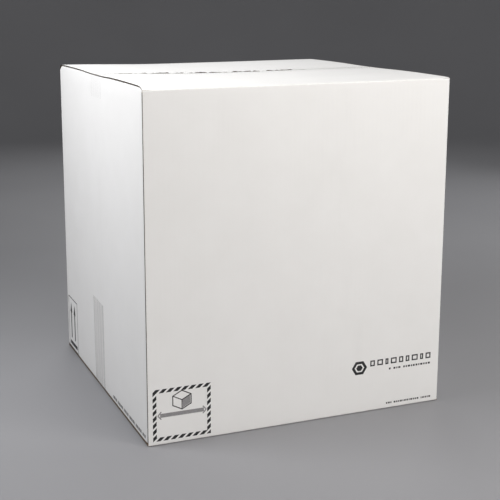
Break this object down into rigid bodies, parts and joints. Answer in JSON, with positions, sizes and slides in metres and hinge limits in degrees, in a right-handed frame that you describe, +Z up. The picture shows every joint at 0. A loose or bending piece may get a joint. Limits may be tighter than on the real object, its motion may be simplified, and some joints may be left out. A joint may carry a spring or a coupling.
{
  "type": "corrugated shipping carton",
  "caption": "Closed white corrugated carton with folding outer and inner flaps at top and bottom, sealed along its seams with clear tape.",
  "frame": {"origin": "centre of the underside", "axes": "+Z up; the outer flaps meet in a seam along X; -Y is the printed front wall"},
  "size_m": [0.42, 0.42, 0.445],
  "materials": {
    "white_board": "matt white printed liner",
    "kraft_liner": "brown kraft",
    "clear_tape": "clear polypropylene tape over board"
  },
  "bodies": {
    "walls": {"front_panel": "white_board", "back_panel": "white_board", "left_panel": "white_board", "right_panel": "white_board", "glue_tab": "kraft_liner", "top_tape_left_tail": "clear_tape", "top_tape_right_tail": "clear_tape", "bottom_tape_left_tail": "clear_tape", "bottom_tape_right_tail": "clear_tape"},
    "top_front": {"top_front_flap": "white_board", "top_tape_front_half": "clear_tape"},
    "top_back": {"top_back_flap": "white_board", "top_tape_back_half": "clear_tape"},
    "top_left": {"top_left_flap": "white_board"},
    "top_right": {"top_right_flap": "white_board"},
    "bottom_front": {"bottom_front_flap": "white_board", "bottom_tape_front_half": "clear_tape"},
    "bottom_back": {"bottom_back_flap": "white_board", "bottom_tape_back_half": "clear_tape"},
    "bottom_left": {"bottom_left_flap": "white_board"},
    "bottom_right": {"bottom_right_flap": "white_board"}
  },
  "joints": [
    {"name": "top_front_crease", "type": "hinge", "parent": "walls", "child": "top_front", "pos_m": [0, -0.20941, 0.44441], "axis": [1, 0, 0], "range_deg": [0, 220]},
    {"name": "top_back_crease", "type": "hinge", "parent": "walls", "child": "top_back", "pos_m": [0, 0.20941, 0.44441], "axis": [-1, 0, 0], "range_deg": [0, 220]},
    {"name": "top_left_crease", "type": "hinge", "parent": "walls", "child": "top_left", "pos_m": [-0.2067, 0, 0.4387], "axis": [0, 1, 0], "range_deg": [0, 90]},
    {"name": "top_right_crease", "type": "hinge", "parent": "walls", "child": "top_right", "pos_m": [0.2067, 0, 0.4387], "axis": [0, -1, 0], "range_deg": [0, 90]},
    {"name": "bottom_front_crease", "type": "hinge", "parent": "walls", "child": "bottom_front", "pos_m": [0, -0.20941, 0.00059], "axis": [-1, 0, 0], "range_deg": [0, 220]},
    {"name": "bottom_back_crease", "type": "hinge", "parent": "walls", "child": "bottom_back", "pos_m": [0, 0.20941, 0.00059], "axis": [1, 0, 0], "range_deg": [0, 220]},
    {"name": "bottom_left_crease", "type": "hinge", "parent": "walls", "child": "bottom_left", "pos_m": [-0.2067, 0, 0.0063], "axis": [0, -1, 0], "range_deg": [0, 90]},
    {"name": "bottom_right_crease", "type": "hinge", "parent": "walls", "child": "bottom_right", "pos_m": [0.2067, 0, 0.0063], "axis": [0, 1, 0], "range_deg": [0, 90]}
  ]
}
